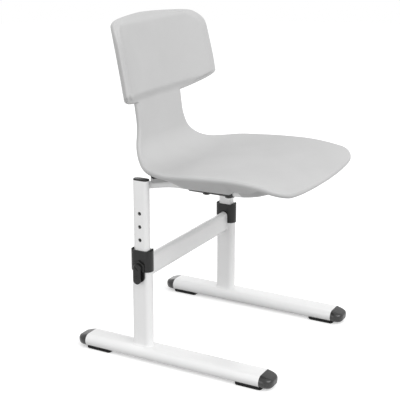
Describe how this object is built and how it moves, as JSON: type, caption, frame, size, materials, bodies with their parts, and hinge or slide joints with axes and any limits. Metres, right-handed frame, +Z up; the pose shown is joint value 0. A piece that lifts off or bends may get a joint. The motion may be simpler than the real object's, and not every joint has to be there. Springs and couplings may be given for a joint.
{
  "type": "school chair",
  "caption": "Height-adjustable school chair: moulded shell with backrest on a floor-tube frame, sliding uprights, lever-worked lock pins and a bent seat tube",
  "frame": {"origin": "on the floor, in the middle of the plan box of the whole chair", "axes": "+Z up; the sitter faces -Y; +X is the sitter's left, across the chair; +Z is the longest extent"},
  "size_m": [0.453, 0.5, 0.7409],
  "materials": {
    "powder_coat_white": "satin",
    "plastic_black": "satin",
    "rubber_black": "matte",
    "steel_plated": "satin",
    "brass_insert": "satin",
    "plastic_grey": "matte"
  },
  "bodies": {
    "base": {"right_foot_tube": "powder_coat_white", "left_foot_tube": "powder_coat_white", "right_front_cap": "plastic_black", "right_rear_cap": "plastic_black", "left_front_cap": "plastic_black", "left_rear_cap": "plastic_black", "right_front_pad": "rubber_black", "right_rear_pad": "rubber_black", "left_front_pad": "rubber_black", "left_rear_pad": "rubber_black", "right_upright": "powder_coat_white", "left_upright": "powder_coat_white", "crossbar": "powder_coat_white", "right_collar": "plastic_black", "left_collar": "plastic_black", "right_guide_bush": "plastic_black", "left_guide_bush": "plastic_black", "right_lock_plate": "plastic_black", "left_lock_plate": "plastic_black"},
    "seat": {"right_inner_tube": "powder_coat_white", "left_inner_tube": "powder_coat_white", "right_top_plug": "plastic_black", "left_top_plug": "plastic_black", "right_slide_plug": "plastic_black", "left_slide_plug": "plastic_black", "seat_tube": "powder_coat_white", "right_rail_clamp": "plastic_black", "left_rail_clamp": "plastic_black", "right_rear_block": "plastic_black", "left_rear_block": "plastic_black", "seat_screws": "steel_plated", "seat_inserts": "brass_insert", "seat_shell": "plastic_grey"},
    "right_lever": {"right_lock_lever": "plastic_black"},
    "left_lever": {"left_lock_lever": "plastic_black"},
    "right_pin": {"right_lock_pin": "steel_plated"},
    "left_pin": {"left_lock_pin": "steel_plated"}
  },
  "joints": [
    {"name": "seat_height", "type": "slide", "parent": "base", "child": "seat", "axis": [0, 0, 1], "range_m": [-0.12, 0.03]},
    {"name": "right_lever_turn", "type": "hinge", "parent": "base", "child": "right_lever", "pos_m": [-0.2166, 0.088, 0.219], "axis": [-1, 0, 0], "range_deg": [0, 90]},
    {"name": "left_lever_turn", "type": "hinge", "parent": "base", "child": "left_lever", "pos_m": [0.2166, 0.088, 0.219], "axis": [-1, 0, 0], "range_deg": [0, 90]},
    {"name": "right_pin_slide", "type": "slide", "parent": "base", "child": "right_pin", "axis": [1, 0, 0], "range_m": [0, 0.0065]},
    {"name": "left_pin_slide", "type": "slide", "parent": "base", "child": "left_pin", "axis": [-1, 0, 0], "range_m": [0, 0.0065]}
  ],
  "couplings": [
    {"joint": "right_pin_slide", "follows": "right_lever_turn", "m_per_rad": 0.004138},
    {"joint": "left_pin_slide", "follows": "left_lever_turn", "m_per_rad": 0.004138}
  ]
}
